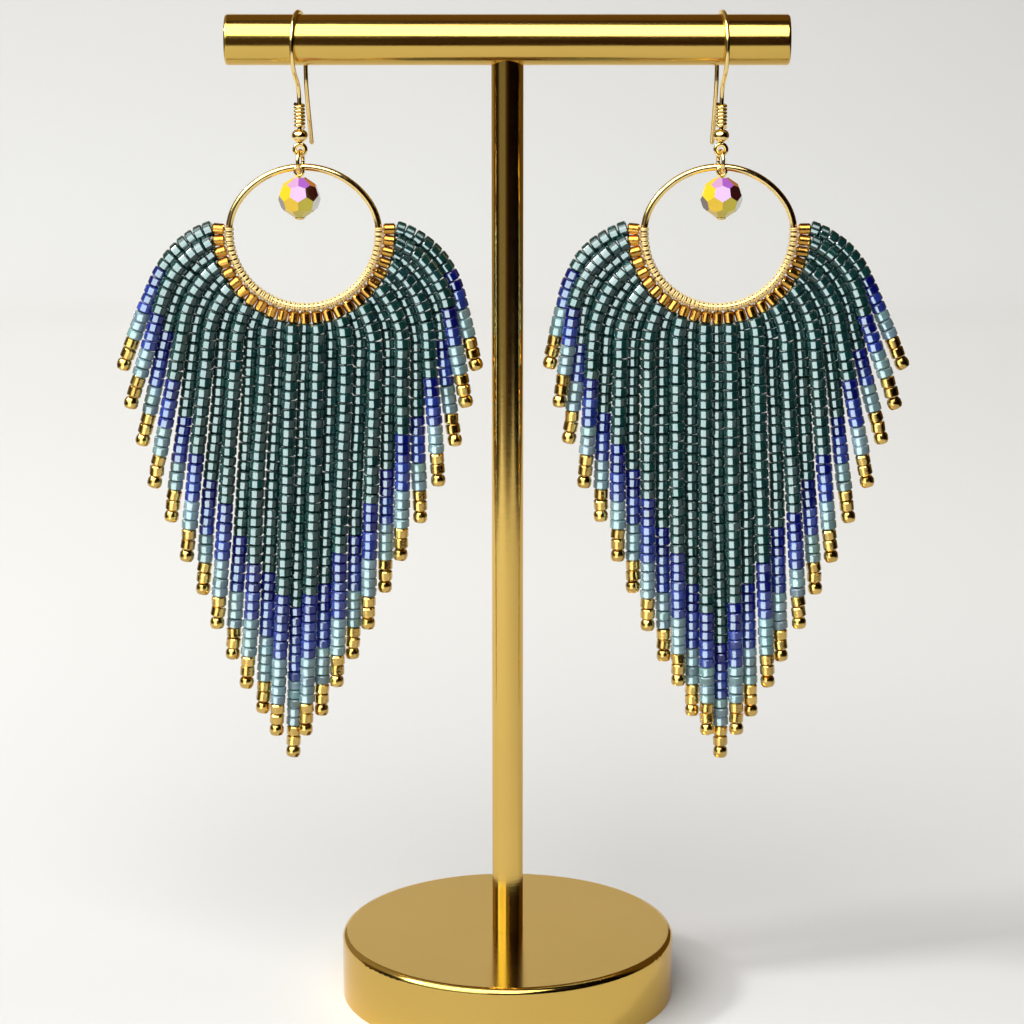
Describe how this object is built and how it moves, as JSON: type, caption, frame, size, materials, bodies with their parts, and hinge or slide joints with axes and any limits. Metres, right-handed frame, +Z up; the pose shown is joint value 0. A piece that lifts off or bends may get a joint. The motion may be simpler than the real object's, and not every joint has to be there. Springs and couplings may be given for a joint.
{
  "type": "pair of beaded fringe earrings on a t-bar display stand",
  "caption": "Hoop earrings with a graded bead fringe, a faceted bead and French hooks, hung on a T-bar stand with a round base.",
  "frame": {"origin": "centre of the stand's underside", "axes": "+Z up, +X to the viewer's right along the cross bar, -Y towards the viewer"},
  "size_m": [0.1201, 0.052, 0.1536],
  "materials": {
    "stand_metal": "satin gold plating",
    "gold_wire": "polished gold plating",
    "thread": "pale gold beading thread",
    "crystal": "faceted glass with an iridescent coating",
    "seed_beads": "silver-lined glass, teal to cobalt to sky blue, gold tips"
  },
  "bodies": {
    "stand": {"base_disc": "stand_metal", "post": "stand_metal", "cross_bar": "stand_metal", "left_ear_hook": "gold_wire", "left_hook_coil": "gold_wire", "left_hook_ball": "gold_wire", "right_ear_hook": "gold_wire", "right_hook_coil": "gold_wire", "right_hook_ball": "gold_wire"},
    "left_drop": {"left_link_ring": "gold_wire", "left_hoop": "gold_wire", "left_hoop_wrap": "thread", "left_crystal": "crystal", "left_crystal_pin": "gold_wire", "left_fringe": "seed_beads"},
    "right_drop": {"right_link_ring": "gold_wire", "right_hoop": "gold_wire", "right_hoop_wrap": "thread", "right_crystal": "crystal", "right_crystal_pin": "gold_wire", "right_fringe": "seed_beads"}
  },
  "joints": [
    {"name": "left_drop_swing", "type": "hinge", "parent": "stand", "child": "left_drop", "pos_m": [-0.0309, 0, 0.13217], "axis": [1, 0, 0], "range_deg": [-45, 45]},
    {"name": "right_drop_swing", "type": "hinge", "parent": "stand", "child": "right_drop", "pos_m": [0.0318, 0, 0.13217], "axis": [1, 0, 0], "range_deg": [-45, 45]}
  ]
}
